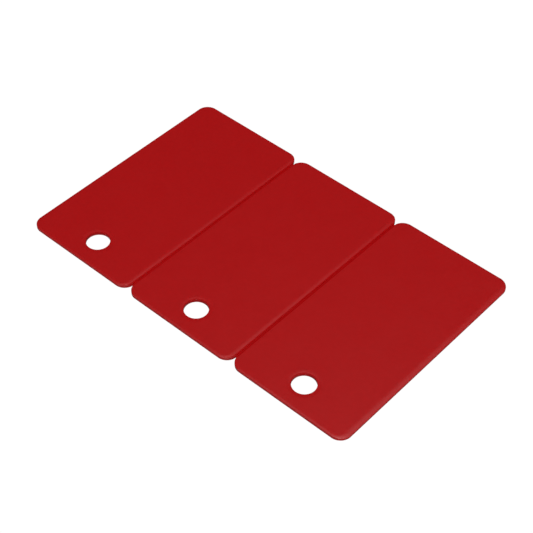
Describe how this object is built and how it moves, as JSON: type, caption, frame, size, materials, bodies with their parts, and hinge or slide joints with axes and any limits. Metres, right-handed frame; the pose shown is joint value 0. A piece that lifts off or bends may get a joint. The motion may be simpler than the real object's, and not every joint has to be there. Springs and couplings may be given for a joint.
{
  "type": "snap-off key tag card",
  "caption": "Thin glossy plastic card of key tags side by side, each with rounded corners and a ring hole, joined along scored snap-off lines.",
  "frame": {"origin": "centre of the card's outline, on the underside", "axes": "+X along the row of tags, from the left tag to the right tag; +Y from the ring-hole end to the plain end; +Z out of the face"},
  "size_m": [0.0856, 0.054, 0.0008],
  "materials": {
    "face_film": "clear film over solid red core, press-plate satin gloss",
    "red_core": "solid red core stock, seen on the cut edges",
    "back_film": "clear film over solid red core, same as the face"
  },
  "bodies": {
    "middle_tag": {"middle_tag_front_overlay": "face_film", "middle_tag_front_core": "red_core", "middle_tag_back_core": "red_core", "middle_tag_back_overlay": "back_film"},
    "left_score_line": {"left_score_web": "red_core"},
    "left_tag": {"left_tag_front_overlay": "face_film", "left_tag_front_core": "red_core", "left_tag_back_core": "red_core", "left_tag_back_overlay": "back_film"},
    "right_score_line": {"right_score_web": "red_core"},
    "right_tag": {"right_tag_front_overlay": "face_film", "right_tag_front_core": "red_core", "right_tag_back_core": "red_core", "right_tag_back_overlay": "back_film"}
  },
  "joints": [
    {"name": "left_fold", "type": "hinge", "parent": "middle_tag", "child": "left_score_line", "pos_m": [-0.01427, 0, 0.00038], "axis": [0, 1, 0], "range_deg": [-45, 45], "stiffness_Nm_per_rad": 0.03, "deforming": ["left_score_web"]},
    {"name": "left_snap_off", "type": "slide", "parent": "left_score_line", "child": "left_tag", "axis": [-1, 0, 0], "range_m": [0, 0.015]},
    {"name": "right_fold", "type": "hinge", "parent": "middle_tag", "child": "right_score_line", "pos_m": [0.01427, 0, 0.00038], "axis": [0, -1, 0], "range_deg": [-45, 45], "stiffness_Nm_per_rad": 0.03, "deforming": ["right_score_web"]},
    {"name": "right_snap_off", "type": "slide", "parent": "right_score_line", "child": "right_tag", "axis": [1, 0, 0], "range_m": [0, 0.015]}
  ]
}
